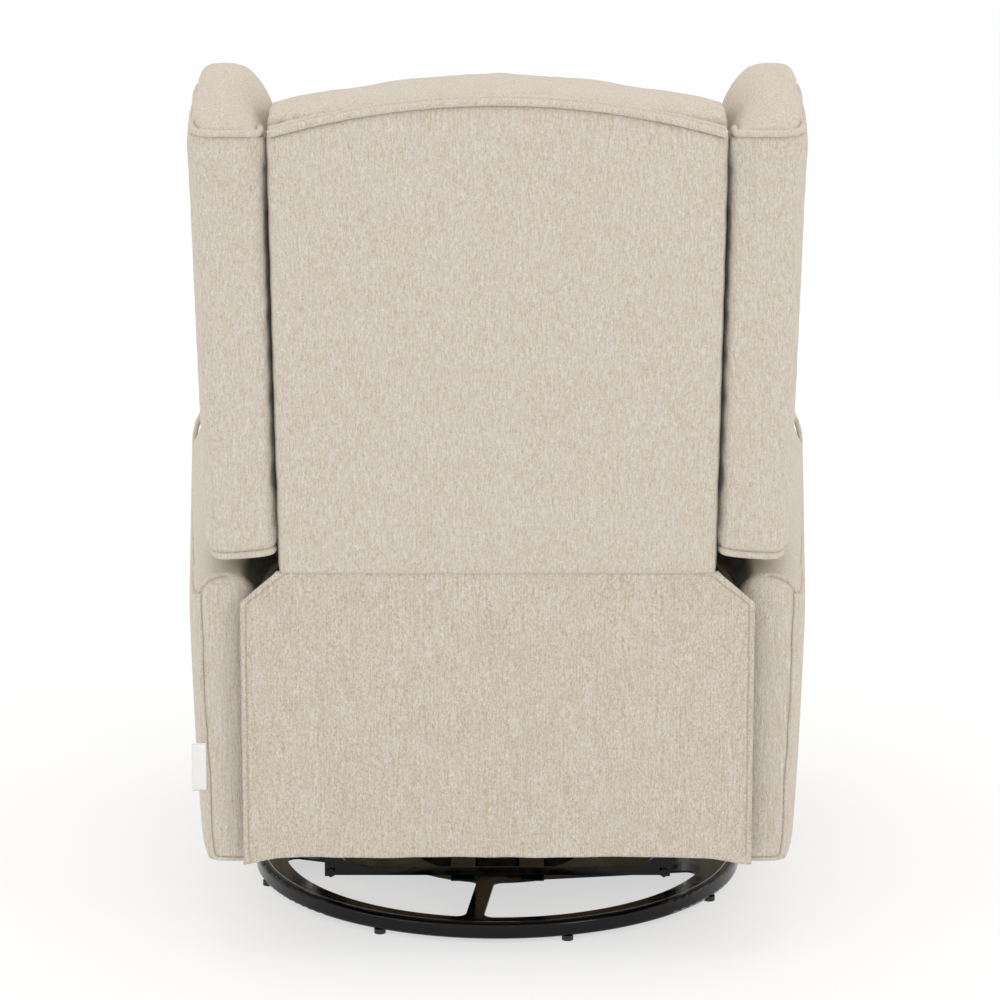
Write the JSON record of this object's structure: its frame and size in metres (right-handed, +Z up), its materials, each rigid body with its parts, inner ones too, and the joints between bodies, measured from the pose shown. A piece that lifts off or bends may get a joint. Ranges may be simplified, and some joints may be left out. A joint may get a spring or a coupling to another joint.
{
  "type": "swivel recliner",
  "caption": "Upholstered wingback swivel glider recliner on a round steel ring base, with a hinged back and a linkage footrest.",
  "frame": {"origin": "centre of the swivel axis on the floor, under the middle of the chair's box", "axes": "+Z up, the sitter faces -Y, +X to the sitter's left"},
  "size_m": [0.8088, 0.8886, 1.0641],
  "materials": {
    "fabric": "soft slub weave upholstery over foam",
    "black_steel": "gloss black powder coat",
    "zinc_steel": "bright zinc plate",
    "timber": "rough sawn pine and plywood",
    "black_plastic": "moulded nylon",
    "webbing": "woven elastic webbing",
    "tag_cloth": "plain woven tape"
  },
  "bodies": {
    "base": {"base_ring": "black_steel", "spider_plate": "black_steel", "foot_glides": "black_plastic", "lower_race": "zinc_steel", "race_screws": "zinc_steel", "bearing_balls": "zinc_steel", "king_bolt": "zinc_steel"},
    "swivel_frame": {"upper_race": "zinc_steel", "swivel_rails": "black_steel", "cross_bars": "black_steel", "cross_gussets": "black_steel", "glide_posts": "black_steel", "glide_rails": "black_steel", "frame_bolts": "zinc_steel", "upper_glide_pins": "zinc_steel"},
    "rear_glide_links": {"glide_links_rear": "black_steel", "glide_bushes_rear": "black_plastic"},
    "front_glide_links": {"glide_links_front": "black_steel", "glide_bushes_front": "black_plastic"},
    "seat": {"carriage_hangers": "black_steel", "carriage_tubes": "black_steel", "lower_glide_pins": "zinc_steel", "side_plates": "black_steel", "side_rails": "timber", "seat_cross_rails": "timber", "front_band": "fabric", "seat_springs": "zinc_steel", "seat_cushion": "fabric", "arm_boards": "timber", "arm_bolts": "zinc_steel", "arm_pad_left": "fabric", "arm_pad_right": "fabric", "arm_face_left": "fabric", "arm_face_right": "fabric", "rear_flap": "fabric", "blank_tag": "tag_cloth", "lever_bracket": "black_steel", "control_rivets": "zinc_steel", "recline_pins": "zinc_steel"},
    "drive": {"drive_links": "black_steel", "drive_rivets": "zinc_steel", "drive_shaft": "black_steel"},
    "front_link_pair": {"front_links": "black_steel", "front_rivets": "zinc_steel"},
    "control_link_pair": {"control_links": "black_steel"},
    "tie_link_pair": {"tie_links": "black_steel"},
    "footrest": {"footrest_board": "timber", "footrest_pad": "fabric", "footrest_brackets": "black_steel", "footrest_rivets": "zinc_steel"},
    "backrest": {"back_posts": "timber", "back_rails": "timber", "back_webbing": "webbing", "back_cushion": "fabric", "back_panel": "fabric", "wing_pad_left": "fabric", "wing_pad_right": "fabric", "wing_boards": "timber", "wing_bolts": "zinc_steel", "hinge_arms": "black_steel"},
    "lever": {"release_lever": "black_plastic"}
  },
  "joints": [
    {"name": "swivel", "type": "hinge", "parent": "base", "child": "swivel_frame", "pos_m": [0, 0, 0.038], "axis": [0, 0, 1], "continuous": true},
    {"name": "glide", "type": "hinge", "parent": "swivel_frame", "child": "rear_glide_links", "pos_m": [0, 0.18, 0.225], "axis": [1, 0, 0], "range_deg": [-20, 20]},
    {"name": "front_link_swing", "type": "hinge", "parent": "swivel_frame", "child": "front_glide_links", "pos_m": [0, -0.18, 0.225], "axis": [1, 0, 0], "range_deg": [-20, 20]},
    {"name": "seat_level", "type": "hinge", "parent": "rear_glide_links", "child": "seat", "pos_m": [0, 0.18, 0.095], "axis": [1, 0, 0], "range_deg": [-20, 20]},
    {"name": "footrest_drive", "type": "hinge", "parent": "seat", "child": "drive", "pos_m": [0, -0.281, 0.268], "axis": [-1, 0, 0], "range_deg": [0, 88]},
    {"name": "front_link_turn", "type": "hinge", "parent": "drive", "child": "front_link_pair", "pos_m": [0, -0.196, 0.108], "axis": [-1, 0, 0], "range_deg": [-88, 0]},
    {"name": "footrest_turn", "type": "hinge", "parent": "front_link_pair", "child": "footrest", "pos_m": [0, -0.366, 0.245], "axis": [-1, 0, 0], "range_deg": [0, 88]},
    {"name": "control_link_turn", "type": "hinge", "parent": "seat", "child": "control_link_pair", "pos_m": [0, -0.24, 0.252], "axis": [-1, 0, 0], "range_deg": [0, 88]},
    {"name": "tie_link_turn", "type": "hinge", "parent": "drive", "child": "tie_link_pair", "pos_m": [0, -0.2015, 0.139], "axis": [-1, 0, 0], "range_deg": [-88, 0]},
    {"name": "recline", "type": "hinge", "parent": "seat", "child": "backrest", "pos_m": [0, 0.3, 0.4], "axis": [-1, 0, 0], "range_deg": [0, 30], "deforming": ["rear_flap"]},
    {"name": "release_lever_pull", "type": "hinge", "parent": "seat", "child": "lever", "pos_m": [0, -0.17, 0.324], "axis": [-1, 0, 0], "range_deg": [0, 22], "stiffness_Nm_per_rad": 2, "springref_deg": -5.73}
  ],
  "couplings": [
    {"joint": "front_link_swing", "follows": "glide", "ratio": 1},
    {"joint": "seat_level", "follows": "glide", "ratio": -1},
    {"joint": "front_link_turn", "follows": "footrest_drive", "ratio": -1},
    {"joint": "footrest_turn", "follows": "footrest_drive", "ratio": 1},
    {"joint": "control_link_turn", "follows": "footrest_drive", "ratio": 1},
    {"joint": "tie_link_turn", "follows": "footrest_drive", "ratio": -1}
  ]
}
